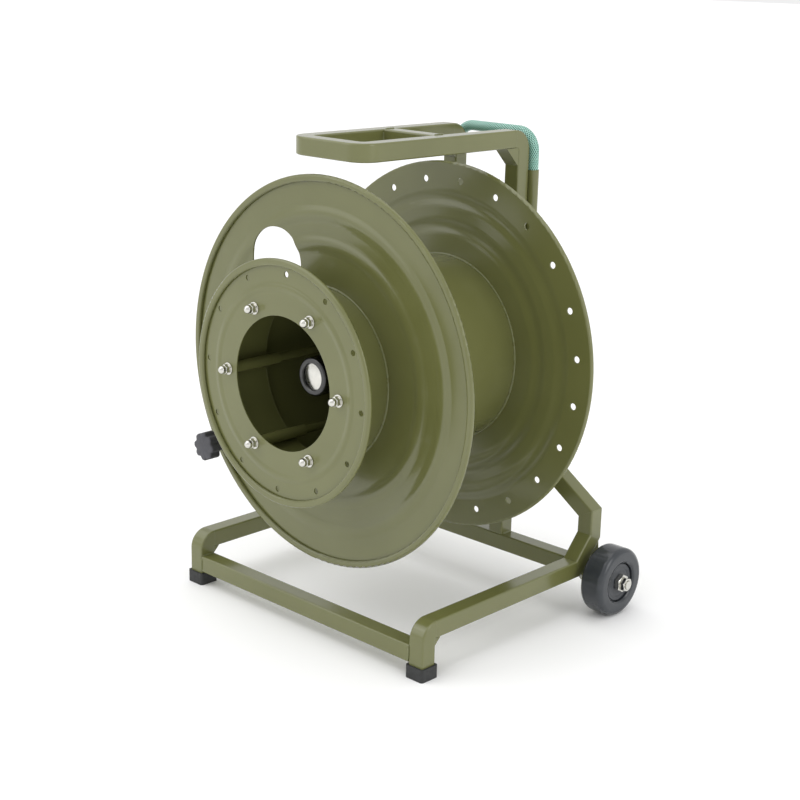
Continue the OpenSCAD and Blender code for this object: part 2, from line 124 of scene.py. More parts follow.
def bump(tree, height, depth, normal=None):
    """Bump from a 0 to 1 height, depth metres deep."""
    inputs = {"Height": height, "Distance": depth, "Strength": 1.0}
    if normal is not None:
        inputs["Normal"] = normal
    return add_node(tree, "ShaderNodeBump", inputs=inputs).outputs["Normal"]


def start_material(name):
    """An empty material with its Principled shader, and its Object coordinates."""
    material = bpy.data.materials.new(name)
    material.use_nodes = True
    tree = material.node_tree
    tree.nodes.clear()
    shader = add_node(tree, "ShaderNodeBsdfPrincipled")
    add_node(tree, "ShaderNodeOutputMaterial", inputs={"Surface": shader.outputs["BSDF"]})
    coords = add_node(tree, "ShaderNodeTexCoord").outputs["Object"]
    return material, tree, shader, coords


def feed(tree, shader, name, value):
    if isinstance(value, bpy.types.NodeSocket):
        tree.links.new(value, shader.inputs[name])
    else:
        shader.inputs[name].default_value = value


def painted_edge_highlight(tree, radius):
    """1 where the surface turns sharply within radius, else 0: where a painted highlight line is laid along the
    edges.
    """
    soft = add_node(tree, "ShaderNodeBevel", {"samples": 4}, {"Radius": radius}).outputs["Normal"]
    true = add_node(tree, "ShaderNodeNewGeometry").outputs["True Normal"]
    dot = add_node(tree, "ShaderNodeVectorMath", {"operation": "DOT_PRODUCT"}, {0: soft, 1: true})
    return spread(tree, dot.outputs["Value"], 1.0, 0.0, 0.72, 0.98), soft


# ---------------------------------------------------------------- materials

def olive_powder_coat(settings):
    """Polyester powder coat, sprayed dry and baked on steel sheet and tube.

    To the eye: one even, glossy olive green with faint orange peel, a little duller where the coat is thick,
    and a painted highlight line along folded and cut edges.
    """
    material, tree, shader, coords = start_material("olive_powder_coat")
    cloud = noise(tree, coords, 90 * MM, 2.0)
    colour = blend_colours(tree, spread(tree, cloud, 0.0, 1.0), srgb("#65673b"), srgb("#6a6c40"))
    # Painted highlight: sharp edges are blended towards pale olive #a3a67e, standing in for light caught on
    # their rounding
    edge, soft = painted_edge_highlight(tree, 0.9 * MM)
    colour = blend_colours(tree, spread(tree, edge, 0.0, 0.35, 0.0, 1.0), colour, srgb("#a3a67e"))
    feed(tree, shader, "Base Color", colour)
    smear = noise(tree, coords, 60 * MM, 2.0)
    feed(tree, shader, "Roughness", spread(tree, smear, settings.paint_roughness - 0.02,
                                           settings.paint_roughness + 0.03))
    feed(tree, shader, "IOR", 1.5)
    feed(tree, shader, "Coat Weight", 0.35)
    feed(tree, shader, "Coat Roughness", 0.12)
    # Orange peel is 1.5 to 3 mm across on such a coat, and a few microns deep.
    peel = noise(tree, coords, 2.4 * MM, 1.0)
    feed(tree, shader, "Normal", bump(tree, peel, 0.012 * MM, soft))
    return material


def bright_zinc(settings):
    """Bright zinc plate, electroplated on turned steel.

    To the eye: a hard silver mirror with a faint warm cast and fine turning marks.
    """
    material, tree, shader, coords = start_material("bright_zinc")
    tone = noise(tree, coords, 6 * MM, 2.0)
    feed(tree, shader, "Base Color", blend_colours(tree, tone, srgb("#dcdad2"), srgb("#c4c4bf")))
    feed(tree, shader, "Metallic", 1.0)
    feed(tree, shader, "Roughness", spread(tree, noise(tree, coords, 2 * MM, 3.0), 0.10, 0.22))
    soft = add_node(tree, "ShaderNodeBevel", {"samples": 4}, {"Radius": 0.3 * MM}).outputs["Normal"]
    feed(tree, shader, "Normal", bump(tree, noise(tree, coords, 0.5 * MM, 2.0), 0.004 * MM, soft))
    return material


def black_enamel(settings):
    """Baked black enamel on machined steel.

    To the eye: near black with sharp small reflections.
    """
    material, tree, shader, coords = start_material("black_enamel")
    tone = noise(tree, coords, 20 * MM, 3.0)
    feed(tree, shader, "Base Color", blend_colours(tree, tone, srgb("#0c0d0d"), srgb("#151616")))
    feed(tree, shader, "Roughness", spread(tree, noise(tree, coords, 8 * MM, 3.0), 0.16, 0.30))
    feed(tree, shader, "Coat Weight", 0.5)
    feed(tree, shader, "Coat Roughness", 0.08)
    soft = add_node(tree, "ShaderNodeBevel", {"samples": 4}, {"Radius": 0.8 * MM}).outputs["Normal"]
    feed(tree, shader, "Normal", bump(tree, noise(tree, coords, 1.5 * MM, 2.0), 0.01 * MM, soft))
    return material


def moulded(name, dark, light, rough_low, rough_high, grain, depth, edge):
    """A moulded black plastic or rubber: two close tones, a grained surface and soft corners."""
    material, tree, shader, coords = start_material(name)
    tone = noise(tree, coords, 15 * MM, 3.0)
    feed(tree, shader, "Base Color", blend_colours(tree, tone, srgb(dark), srgb(light)))
    feed(tree, shader, "Roughness", spread(tree, noise(tree, coords, 5 * MM, 4.0), rough_low, rough_high))
    soft = add_node(tree, "ShaderNodeBevel", {"samples": 4}, {"Radius": edge}).outputs["Normal"]
    feed(tree, shader, "Normal", bump(tree, noise(tree, coords, grain, 2.0), depth, soft))
    return material


def black_rubber(settings):
    """Moulded EPDM rubber. To the eye: matt soot black, softly rounded, slightly dusty."""
    return moulded("black_rubber", "#232424", "#343535", 0.55, 0.75, 1.2 * MM, 0.03 * MM, 1.5 * MM)


def tyre_rubber(settings):
    """Cast polyurethane tread. To the eye: blue-black and glossy, with smooth soft reflections."""
    return moulded("tyre_rubber", "#2f3236", "#3b3f43", 0.14, 0.24, 6 * MM, 0.03 * MM, 0.8 * MM)


def black_nylon(settings):
    """Moulded glass-filled nylon. To the eye: dark grey, satin, with a faint fleck."""
    return moulded("black_nylon", "#33363a", "#404347", 0.34, 0.50, 0.9 * MM, 0.02 * MM, 0.5 * MM)


def black_phenolic(settings):
    """Moulded phenolic resin. To the eye: slate black with a fine satin skin."""
    return moulded("black_phenolic", "#38383d", "#46464c", 0.38, 0.52, 0.8 * MM, 0.02 * MM, 0.6 * MM)


def mint_hose(settings):
    """PVC hose over a knitted net of polyester thread.

    To the eye: mint green, half clear, with crossing white threads in diamonds and darker green
    between them. Reads the hose's own UV map: U once round, V in metres along.
    """
    material, tree, shader, coords = start_material("mint_hose")
    uv = add_node(tree, "ShaderNodeUVMap", {"uv_map": "UVMap"}).outputs["UV"]
    split = add_node(tree, "ShaderNodeSeparateXYZ", inputs={0: uv})
    around = add_node(tree, "ShaderNodeMath", {"operation": "MULTIPLY"}, {
        0: split.outputs[0], 1: 2 * math.pi * settings.hose_threads / 2})
    along = add_node(tree, "ShaderNodeMath", {"operation": "MULTIPLY"}, {
        0: split.outputs[1], 1: math.pi / settings.hose_pitch})

    def family(operation):
        phase = add_node(tree, "ShaderNodeMath", {"operation": operation}, {
            0: around.outputs[0], 1: along.outputs[0]})
        wave = add_node(tree, "ShaderNodeMath", {"operation": "COSINE"}, {0: phase.outputs[0]})
        return add_node(tree, "ShaderNodeMath", {"operation": "ABSOLUTE"}, {0: wave.outputs[0]}).outputs[0]

    thread = add_node(tree, "ShaderNodeMath", {"operation": "MAXIMUM"}, {
        0: family("ADD"), 1: family("SUBTRACT")}).outputs[0]
    mask = spread(tree, thread, 0.0, 1.0, 0.88, 0.96)
    shade = noise(tree, coords, 12 * MM, 3.0)
    gap = blend_colours(tree, shade, srgb("#0a3328"), srgb("#175443"))
    net = blend_colours(tree, shade, srgb("#8fd9c3"), srgb("#c4efe3"))
    feed(tree, shader, "Base Color", blend_colours(tree, mask, gap, net))
    feed(tree, shader, "Roughness", spread(tree, mask, 0.25, 0.5, 0.0, 1.0))
    feed(tree, shader, "Coat Weight", 0.3)
    feed(tree, shader, "Normal", bump(tree, thread, 0.15 * MM))
    return material


def weld_bead_coat(settings):
    """Powder coat over a hand-laid weld. To the eye: the paint's own green on a rippled bead."""
    material, tree, shader, coords = start_material("weld_bead_coat")
    cloud = noise(tree, coords, 8 * MM, 3.0)
    feed(tree, shader, "Base Color", blend_colours(tree, cloud, srgb("#606339"), srgb("#74774a")))
    feed(tree, shader, "Roughness", spread(tree, cloud, settings.paint_roughness, 0.42))
    feed(tree, shader, "Coat Weight", 0.35)
    feed(tree, shader, "Coat Roughness", 0.12)
    feed(tree, shader, "Normal", bump(tree, noise(tree, coords, 1.6 * MM, 3.0), 0.1 * MM))
    return material


def studio_floor(settings):
    """Matt white vinyl floor. To the eye: a plain pale sweep with only soft shadows on it."""
    material, tree, shader, coords = start_material("studio_floor")
    cloud = noise(tree, coords, 0.6, 2.0)
    feed(tree, shader, "Base Color", blend_colours(tree, cloud, srgb("#fbfbfb"), srgb("#fdfdfd")))
    feed(tree, shader, "Roughness", spread(tree, noise(tree, coords, 0.05, 3.0), 0.7, 0.8))
    feed(tree, shader, "Specular IOR Level", 0.2)
    return material


MAKERS = {
    "olive_powder_coat": olive_powder_coat,
    "bright_zinc": bright_zinc,
    "black_steel": black_enamel,
    "black_rubber": black_rubber,
    "tyre_rubber": tyre_rubber,
    "black_nylon": black_nylon,
    "black_phenolic": black_phenolic,
    "mint_hose": mint_hose,
}
made_materials = {}


def finish_for(slot_name, settings):
    """The material of one of the record's slots, made once."""
    if slot_name not in made_materials:
        made_materials[slot_name] = MAKERS[slot_name](settings)
    return made_materials[slot_name]


# ---------------------------------------------------------------- surfaces worked out with numpy

def grid_quads(rows, columns, close_rows, close_columns):
    """Corner numbers of the quads of a rows by columns grid, wrapped round where it closes."""
    i = np.arange(rows if close_rows else rows - 1)[:, None]
    j = np.arange(columns if close_columns else columns - 1)[None, :]
    below = (i + 1) % rows
    right = (j + 1) % columns
    return np.stack([i * columns + j, below * columns + j,
                     below * columns + right, i * columns + right], -1).reshape(-1, 4)


def signed_volume(points, triangles):
    a, b, c = (points[triangles[:, k]] for k in range(3))
    return np.einsum("ij,ij->i", a, np.cross(b, c)).sum() / 6


def skin(points, close_rows=False, poles=None):
    """Closed surface of a grid of rings, as vertices and faces that point outwards.

    points[i, j] is ring i at angle j. Rings join into a loop with close_rows, or each end
    closes on one of the two poles.
    """
    rows, columns = points.shape[:2]
    vertices = points.reshape(-1, 3)
    quads = grid_quads(rows, columns, close_rows, True)
    fans = np.zeros((0, 3), int)
    if poles is not None:
        j = np.arange(columns)
        nxt = (j + 1) % columns
        first, last = len(vertices), len(vertices) + 1
        vertices = np.vstack([vertices, np.asarray(poles, float)])
        top = (rows - 1) * columns
        fans = np.vstack([
            np.stack([np.full(columns, first), j, nxt], 1),
            np.stack([np.full(columns, last), top + nxt, top + j], 1)])
    triangles = np.vstack([quads[:, [0, 1, 2]], quads[:, [0, 2, 3]], fans])
    if signed_volume(vertices, triangles) < 0:
        quads, fans = quads[:, ::-1], fans[:, ::-1]
    return vertices, quads, fans


def join_skins(skins):
    """Several skins as one set of vertices, quads and triangles."""
    starts = np.cumsum([0] + [len(s[0]) for s in skins[:-1]])
    return (np.vstack([s[0] for s in skins]),
            np.vstack([s[1] + k for s, k in zip(skins, starts)]),
            np.vstack([s[2] + k for s, k in zip(skins, starts)]))


def make_piece(name, surface, material, body, replaced=()):
    """Puts a skin into a mesh object, gives it its finish and tells the frame what it rides on."""
    vertices, quads, fans = surface
    mesh = bpy.data.meshes.new(name)
    mesh.from_pydata(vertices.tolist(), [], quads.tolist() + fans.tolist())
    mesh.polygons.foreach_set("use_smooth", np.ones(len(mesh.polygons), bool))
    mesh.materials.append(material)
    mesh.update()
    piece = bpy.data.objects.new(name, mesh)
    bpy.context.scene.collection.objects.link(piece)
    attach(piece, body)
    if replaced:
        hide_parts(*replaced)
    return piece


def body_of_node(node_name):
    return frame["nodes"][node_name]["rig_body"]


def axis_frame(direction):
    """Two unit vectors square to direction, for turning a ring about it."""
    direction = np.asarray(direction, float)
    side = np.cross(direction, (0, 0, 1)) if abs(direction[2]) < 0.9 else np.cross(direction, (1, 0, 0))
    side /= np.linalg.norm(side)
    return side, np.cross(direction, side)


def turned(start, direction, along, radius):
    """P(i, j) = start + along[i] * direction + radius[i, j] * (cos(a_j) * u + sin(a_j) * w)."""
    u, w = axis_frame(direction)
    count = radius.shape[1]
    angle = np.linspace(0, 2 * np.pi, count, endpoint=False)
    ring = np.cos(angle)[:, None] * u + np.sin(angle)[:, None] * w
    return (np.asarray(start, float) + along[:, None, None] * np.asarray(direction, float)
            + radius[:, :, None] * ring[None])


def hexagon(count, flat_radius, turn=0.0):
    """Radius of a hexagon at count angles: flat_radius / cos(angle to the nearest flat)."""
    angle = np.linspace(0, 2 * np.pi, count, endpoint=False) + turn
    off = (angle + np.pi / 6) % (np.pi / 3) - np.pi / 6
    return flat_radius / np.cos(off)


# ---------------------------------------------------------------- add-on settings

class ReelFinishSettings(bpy.types.PropertyGroup):
    """Finish of the painted steel and of the hose on the pull handle."""

    paint_roughness: FloatProperty(
        name="Paint roughness", description="Roughness of the powder coat",
        default=0.24, min=0.05, max=0.8)
    hose_threads: IntProperty(
        name="Hose threads", description="Threads that cross one round of the hose, both ways",
        default=16, min=8, max=60)
    hose_pitch: FloatProperty(
        name="Hose pitch", description="Distance between crossings along the hose",
        default=5.0 * MM, min=1 * MM, max=12 * MM, unit="LENGTH")
    hose_bend: FloatProperty(
        name="Hose bend", description="Radius of the pull handle's two bends",
        default=28 * MM, min=15 * MM, max=60 * MM, unit="LENGTH")
    weld_radius: FloatProperty(
        name="Weld size", description="Radius of the weld beads",
        default=1.7 * MM, min=0.5 * MM, max=5 * MM, unit="LENGTH")


class ReelStageSettings(bpy.types.PropertyGroup):
    """Strength of the studio's lights."""

    sky: FloatProperty(
        name="Room light", description="Strength of the even light from all round",
        default=0.88, min=0.0, max=5.0)
    overhead: FloatProperty(
        name="Overhead light", description="Strength of the broad light from high on the left",
        default=1.0, min=0.0, max=20.0)
    overhead_width: FloatProperty(
        name="Overhead width", description="How wide the overhead light looks from the reel",
        default=math.radians(70), min=0.0, max=math.pi, subtype="ANGLE")
    front_power: FloatProperty(
        name="Front softbox", description="Power of the softbox at the front left",
        default=10.0, min=0.0, max=2000.0, unit="POWER")
    side_power: FloatProperty(
        name="Side softbox", description="Power of the softbox at the right",
        default=16.0, min=0.0, max=2000.0, unit="POWER")
    light_colour: FloatVectorProperty(
        name="Light colour", description="Colour of every light", subtype="COLOR",
        size=3, default=(1.0, 1.0, 1.0), min=0.0, max=1.0)


# ---------------------------------------------------------------- operators

class REEL_OT_finish_steel(bpy.types.Operator):
    """Gives every construction piece the finish of its material slot"""

    bl_idname = "reel.finish_steel"
    bl_label = "Finish construction pieces"

    def execute(self, context):
        settings = context.scene.reel_finish
        for part in frame["record"]["subparts"]:
            piece = frame["nodes"][part["node"]]
            material = finish_for(part["material_slot"], settings)
            for slot in piece.material_slots:
                slot.material = material
        return {"FINISHED"}


class REEL_OT_hose(bpy.types.Operator):
    """Makes the netted hose on the pull handle.

    Its middle line runs up one leg, round a quarter circle, across, and down the other leg. The
    surface is P(s, a) = C(s) + r(s, a) * (cos(a) * n(s) + sin(a) * Y), where n is square to the
    middle line and r rises by the thread's thickness where |cos(k a + m s)| or |cos(k a - m s)|
    is near 1.
    """

    bl_idname = "reel.hose"
    bl_label = "Netted hose"

    def execute(self, context):
        settings = context.scene.reel_finish
        low, high = (np.array(v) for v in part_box("hose_grip"))
        radius = (high[1] - low[1]) / 2
        half_width = high[0] - radius
        top = high[2] - radius
        depth = (high[1] + low[1]) / 2
        bend = settings.hose_bend
        leg = top - bend - low[2]
        quarter = bend * np.pi / 2
        half = leg + quarter + (half_width - bend)
        steps_along, steps_around = 360, 72
        s = np.linspace(0, 2 * half, steps_along)
        near = np.minimum(s, 2 * half - s)      # distance from the closer end
        turn = np.clip((near - leg) / bend, 0, np.pi / 2)
        x = -half_width + bend - bend * np.cos(turn) + np.maximum(near - leg - quarter, 0)
        z = low[2] + np.minimum(near, leg) + bend * np.sin(turn)
        second = s > half
        sign = np.where(second, -1.0, 1.0)
        middle = np.stack([x * sign, np.full_like(x, depth), z], 1)
        heading = np.stack([np.sin(turn), np.zeros_like(turn), np.cos(turn) * sign], 1)
        normal = np.stack([-heading[:, 2], np.zeros_like(turn), heading[:, 0]], 1)
        angle = np.linspace(0, 2 * np.pi, steps_around, endpoint=False)
        around = settings.hose_threads / 2 * angle[None]
        along = np.pi / settings.hose_pitch * s[:, None]
        thread = np.maximum(np.abs(np.cos(around + along)), np.abs(np.cos(around - along)))
        rise = 0.25 * MM
        r = radius - rise + rise * np.clip((thread - 0.75) / 0.2, 0, 1)
        across = (np.cos(angle)[None, :, None] * normal[:, None]
                  + np.sin(angle)[None, :, None] * np.array([0, 1.0, 0]))
        points = middle[:, None] + r[:, :, None] * across
        surface = skin(points, poles=(middle[0], middle[-1]))
        piece = make_piece("hose_net", surface, finish_for("mint_hose", settings),
                           body_of_node("hose_grip"), ("hose_grip",))
        self.map_hose(piece.data, s, steps_around)
        return {"FINISHED"}

    @staticmethod
    def map_hose(mesh, s, columns):
        """U is the turn round the hose, V the metres along it; the last column's right edge has U = 1."""
        corner_vertex = np.zeros(len(mesh.loops), int)
        mesh.loops.foreach_get("vertex_index", corner_vertex)
        starts = np.zeros(len(mesh.polygons), int)
        counts = np.zeros(len(mesh.polygons), int)
        mesh.polygons.foreach_get("loop_start", starts)
        mesh.polygons.foreach_get("loop_total", counts)
        grid = corner_vertex < len(s) * columns
        row = np.where(grid, corner_vertex // columns, 0)
        v = np.where(grid, s[row], np.where(corner_vertex == len(s) * columns, s[0], s[-1]))
        column = np.where(grid, corner_vertex % columns, 0)
        face = np.repeat(np.arange(len(starts)), counts)
        widest = np.zeros(len(starts), int)
        np.maximum.at(widest, face, column)
        wraps = (column == 0) & (widest[face] == columns - 1)
        u = np.where(wraps, 1.0, column / columns)
        layer = mesh.uv_layers.new(name="UVMap")
        layer.data.foreach_set("uv", np.stack([u, v], 1).astype(np.float32).ravel())


def nut_rings(flat, height, chamfer, count, start=0.0, steps=5):
    """Heights and radii of a hexagon with both ends chamfered: r = min(hexagon, chamfer cone)."""
    t = np.linspace(0, 1, steps)
    corner = flat / math.cos(math.pi / 6)
    reach = corner - flat
    along = np.concatenate([chamfer * t, height - chamfer * t[::-1]])
    cone = np.concatenate([flat - 0.02 * flat + reach * 1.15 * t, (flat - 0.02 * flat + reach * 1.15 * t)[::-1]])
    return start + along, np.minimum(hexagon(count, flat)[None], cone[:, None])


class REEL_OT_dome_nuts(bpy.types.Operator):
    """Makes the washers and dome nuts of the front flange.

    Each is turned about its rod: a washer with broken edges, a hexagon whose radius is the
    smaller of the hexagon's and the chamfer cone's, then a short neck and half a sphere.
    """

    bl_idname = "reel.dome_nuts"
    bl_label = "Dome nuts"

    def execute(self, context):
        settings = context.scene.reel_finish
        count = 72
        flat = 14.4 * MM / 2 * math.cos(math.pi / 6)
        for i in range(1, ROD_COUNT + 1):
            node_name = f"dome_nut_{i}"
            low, high = (np.array(v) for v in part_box(node_name))
            length = high[1] - low[1]
            washer_r, washer_t, broken = (high[0] - low[0]) / 2, 2 * MM, 0.25 * MM
            dome_r, hex_h = 5.9 * MM, 7 * MM
            washer_along = np.array([0, broken, washer_t - broken, washer_t])
            washer_radius = np.array([washer_r - broken, washer_r, washer_r, washer_r - broken])
            hex_along, hex_radius = nut_rings(flat, hex_h, 0.9 * MM, count, washer_t)
            a = np.linspace(0, np.pi / 2, 14)[:-1]
            centre = length - dome_r
            dome_along = np.concatenate([[washer_t + hex_h], centre + dome_r * np.sin(a)])
            dome_radius = np.concatenate([[dome_r], dome_r * np.cos(a)])
            along = np.concatenate([washer_along, hex_along, dome_along])
            radius = np.vstack([np.repeat(washer_radius[:, None], count, 1), hex_radius,
                                np.repeat(dome_radius[:, None], count, 1)])
            start = np.array([(low[0] + high[0]) / 2, high[1], (low[2] + high[2]) / 2])
            points = turned(start, (0, -1, 0), along, radius)
            surface = skin(points, poles=(start, start - np.array([0, length, 0])))
            piece = make_piece(f"dome_nut_{i}_polished", surface, finish_for("bright_zinc", settings),
                               body_of_node(node_name), (node_name,))
            sharpen(piece)
        return {"FINISHED"}


def sharpen(piece, angle=40):
    """Keeps edges that turn by more than angle crisp in the shading."""
    piece.data.set_sharp_from_angle(angle=math.radians(angle))


class REEL_OT_winding_knob(bpy.types.Operator):
    """Makes the star knob that winds the drum.

    Its outline is r(a) = R, less what round scallops bite out: within a scallop at angle o from
    its middle, r = d cos(o) - sqrt(q^2 - d^2 sin^2(o)), with d the scallop's distance and q its
    radius. Rings with the outline pulled in make the rounded front, and the face is slightly
    domed.
    """

    bl_idname = "reel.winding_knob"
    bl_label = "Winding knob"

    def execute(self, context):
        settings = context.scene.reel_finish
        lobes, count = 8, 8 * 28
        low, high = (np.array(v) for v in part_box("winding_knob"))
        outer = (high[0] - low[0]) / 2
        length = high[1] - low[1]
        head = 19 * MM
        distance, bite = outer + 1.2 * MM, 4.6 * MM
        angle = np.linspace(0, 2 * np.pi, count, endpoint=False)
        pitch = 2 * np.pi / lobes
        off = (angle + pitch) % pitch - pitch / 2
        under = np.maximum(bite ** 2 - (distance * np.sin(off)) ** 2, 0)
        edge = np.where(under > 0, distance * np.cos(off) - np.sqrt(under), outer)
        edge = np.minimum(edge, outer)
        edge = np.convolve(np.concatenate([edge[-3:], edge, edge[:3]]), np.ones(7) / 7, "valid")
        t = np.linspace(0, np.pi / 2, 7)
        round_r = 2.2 * MM
        shrink = np.array([0.15, 0.35, 0.55, 0.75, 0.9])
        face_along = 0.9 * MM * (shrink ** 2)
        face = shrink[:, None] * (edge - round_r)[None]
        front_along = 0.9 * MM + round_r * (1 - np.sin(np.pi / 2 - t))
        front = (edge - round_r)[None] + round_r * np.sin(t)[:, None]
        rear_t = t[1:]
        rear_along = head - round_r * 0.6 + round_r * 0.6 * np.sin(rear_t)
        rear = edge[None] - round_r * 0.6 * (1 - np.cos(rear_t))[:, None]
        neck_r = outer * 0.55
        neck_along = np.array([head, head + 1.5 * MM, length - 1 * MM, length])
        neck_radius = np.array([neck_r + 1.5 * MM, neck_r, neck_r, neck_r - 1 * MM])
        along = np.concatenate([face_along, front_along, rear_along, neck_along])
        radius = np.vstack([face, front, rear, np.repeat(neck_radius[:, None], count, 1)])
        start = np.array([(low[0] + high[0]) / 2, low[1], (low[2] + high[2]) / 2])
        points = turned(start, (0, 1, 0), along, radius)
        surface = skin(points, poles=(start, start + np.array([0, length, 0])))
        piece = make_piece("star_knob", surface, finish_for("black_phenolic", settings),
                           body_of_node("winding_knob"), ("winding_knob",))
        sharpen(piece, 50)
        return {"FINISHED"}


class REEL_OT_wheel_fittings(bpy.types.Operator):
    """Makes the moulded wheel discs, and the nuts on the wheel bolts.

    A disc is a profile of height against radius turned about the bolt; a nut is turned with the
    smaller of a hexagon's radius and a chamfer cone's, and its bore closes the loop.
    """

    bl_idname = "reel.wheel_fittings"
    bl_label = "Wheel discs and nuts"

    def execute(self, context):
        settings = context.scene.reel_finish
        for side in SIDES:
            sign = -1.0 if side == "left" else 1.0
            self.make_disc(side, sign, settings)
            for name, turn in (("wheel_nut", 0.0), ("lock_nut", math.radians(12))):
                self.make_nut(f"{name}_{side}", sign, turn, settings)
        return {"FINISHED"}

    @staticmethod
    def make_disc(side, sign, settings):
        node_name = f"wheel_hub_{side}"
        low, high = (np.array(v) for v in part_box(node_name))
        outer_x = high[0] if sign > 0 else low[0]
        inner_x = low[0] if sign > 0 else high[0]
        centre = (low + high) / 2
        radius = (high[2] - low[2]) / 2
        start = np.array([inner_x, centre[1], centre[2]])
        width = abs(outer_x - inner_x)
        disc_in = width - 34 * MM
        # height along the bolt and radius, from the bore's inner end round to its outer end
        profile = np.array([
            [0, 6.3], [0, 11.5], [0.5, 12], [disc_in / MM, 12], [disc_in / MM, 20],
            [disc_in / MM + 1, 27.4], [disc_in / MM + 1.6, 28.6], [width / MM - 2.6, 28.6],
            [width / MM - 2.6, 28.0], [width / MM - 0.6, 27.4], [width / MM - 0.1, 26.8],
            [width / MM - 0.1, 22.4], [width / MM - 0.6, 21.8], [width / MM - 0.9, 20.5],
            [width / MM - 0.9, 17.0], [width / MM - 0.5, 15.6], [width / MM - 0.1, 15.0],
            [width / MM - 0.1, 6.8], [width / MM - 0.6, 6.3]]) * MM
        profile[:, 1] *= radius / (29 * MM)
        radii = np.repeat(profile[:, 1:2], 128, 1)
        points = turned(start, (sign, 0, 0), profile[:, 0], radii)
        piece = make_piece(f"wheel_disc_{side}", skin(points, close_rows=True),
                           finish_for("black_nylon", settings), body_of_node(node_name),
                           (node_name,))
        sharpen(piece, 35)

    @staticmethod
    def make_nut(node_name, sign, turn, settings):
        low, high = (np.array(v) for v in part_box(node_name))
        centre = (low + high) / 2
        height = high[0] - low[0]
        flat = (min(high[1] - low[1], high[2] - low[2])) / 2
        if turn:
            flat = 21 * MM / 2 * math.cos(math.pi / 6)
        start = np.array([low[0] if sign > 0 else high[0], centre[1], centre[2]])
        count = 96
        along, outer = nut_rings(flat, height, 1.3 * MM, count)
        outer = np.roll(outer, int(round(turn / (2 * np.pi) * count)), axis=1)
        bore = 6.05 * MM
        ends_along = np.array([height, height - 0.8 * MM, 0.8 * MM, 0.0])
        ends_radius = np.array([bore + 0.8 * MM, bore, bore, bore + 0.8 * MM])
        points = turned(start, (sign, 0, 0), np.concatenate([along, ends_along]),
                        np.vstack([outer, np.repeat(ends_radius[:, None], count, 1)]))
        piece = make_piece(f"{node_name}_chamfered", skin(points, close_rows=True),
                           finish_for("bright_zinc", settings), body_of_node(node_name),
                           (node_name,))
        sharpen(piece, 25)


def bead_along(path, plane_normal, radius, closed, seed):
    """A weld bead along a flat path.

    P(s, a) = C(s) + r(s) * (cos(a) * n(s) + sin(a) * N), where N is the path's plane normal and
    r(s) = R * (1 + 0.10 * sin(2 pi s / ripple) + a slow random wander of 8 per cent).
    """
    path = np.asarray(path, float)
    ahead = np.roll(path, -1, 0) if closed else np.vstack([path[1:], 2 * path[-1:] - path[-2:-1]])
    behind = np.roll(path, 1, 0) if closed else np.vstack([2 * path[:1] - path[1:2], path[:-1]])
    tangent = ahead - behind
    tangent /= np.linalg.norm(tangent, axis=1, keepdims=True)
    flat = np.asarray(plane_normal, float)
    normal = np.cross(flat, tangent)
    steps = np.linalg.norm(np.diff(path, axis=0, append=path[:1] if closed else path[-1:]), axis=1)
    s = np.cumsum(steps) - steps
    random = np.random.default_rng(seed)
    wander = np.interp(s, np.linspace(0, s[-1] + 1e-9, 12), random.uniform(-1, 1, 12))
    ripple = 1.8 * MM
    r = radius * (1 + 0.10 * np.sin(2 * np.pi * s / ripple) + 0.08 * wander)
    if not closed:
        r = r * np.sqrt(np.clip(np.minimum(s, s[-1] - s) / radius, 0.05, 1))
    angle = np.linspace(0, 2 * np.pi, 10, endpoint=False)
    points = path[:, None] + r[:, None, None] * (
        np.cos(angle)[None, :, None] * normal[:, None] + np.sin(angle)[None, :, None] * flat)
    if closed:
        return skin(points, close_rows=True)
    return skin(points, poles=(path[0], path[-1]))


def circle_path(centre, radius, direction):
    """Points every half ripple round a circle about direction."""
    u, w = axis_frame(direction)
    count = max(24, int(2 * np.pi * radius / (0.9 * MM)))
    angle = np.linspace(0, 2 * np.pi, count, endpoint=False)[:, None]
    return np.asarray(centre) + radius * (np.cos(angle) * u + np.sin(angle) * w)


def line_path(a, b):
    """Points every half ripple along a straight line."""
    a, b = np.asarray(a, float), np.asarray(b, float)
    count = max(4, int(np.linalg.norm(b - a) / (0.9 * MM)))
    return a + (b - a) * np.linspace(0, 1, count)[:, None]


